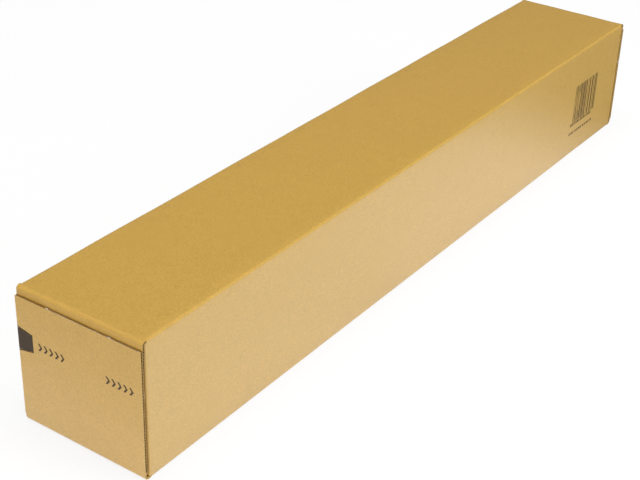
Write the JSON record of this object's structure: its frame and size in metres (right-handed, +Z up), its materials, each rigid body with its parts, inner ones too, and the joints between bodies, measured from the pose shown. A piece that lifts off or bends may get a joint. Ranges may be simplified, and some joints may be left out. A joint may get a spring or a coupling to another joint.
{
  "type": "square mailing tube",
  "caption": "Long square mailing tube folded from fine-fluted corrugated board, with a hinged outer flap, tear-open line and closing strip at each end.",
  "frame": {"origin": "under the middle of the tube, on the surface that its bottom panel lies on", "axes": "+X along the tube to the far end, +Z up, -Y out of the side panel that the picture shows"},
  "size_m": [0.7154, 0.111, 0.109],
  "materials": {
    "cardboard": "matte brown kraft liner",
    "tear_tape": "thin satin film",
    "adhesive": "tacky hot-melt film",
    "release_paper": "smooth silicone-coated paper"
  },
  "bodies": {
    "tube": {"tube_blank": "cardboard"},
    "near_flap": {"near_outer_flap": "cardboard", "near_tear_tape": "tear_tape", "near_adhesive_strip": "adhesive", "near_release_paper": "release_paper"},
    "far_flap": {"far_outer_flap": "cardboard", "far_tear_tape": "tear_tape", "far_adhesive_strip": "adhesive", "far_release_paper": "release_paper"}
  },
  "joints": [
    {"name": "near_flap_hinge", "type": "hinge", "parent": "tube", "child": "near_flap", "pos_m": [-0.35673, 0, 0.00103], "axis": [0, -1, 0], "range_deg": [0, 90]},
    {"name": "far_flap_hinge", "type": "hinge", "parent": "tube", "child": "far_flap", "pos_m": [0.35673, 0, 0.00103], "axis": [0, 1, 0], "range_deg": [0, 90]}
  ]
}
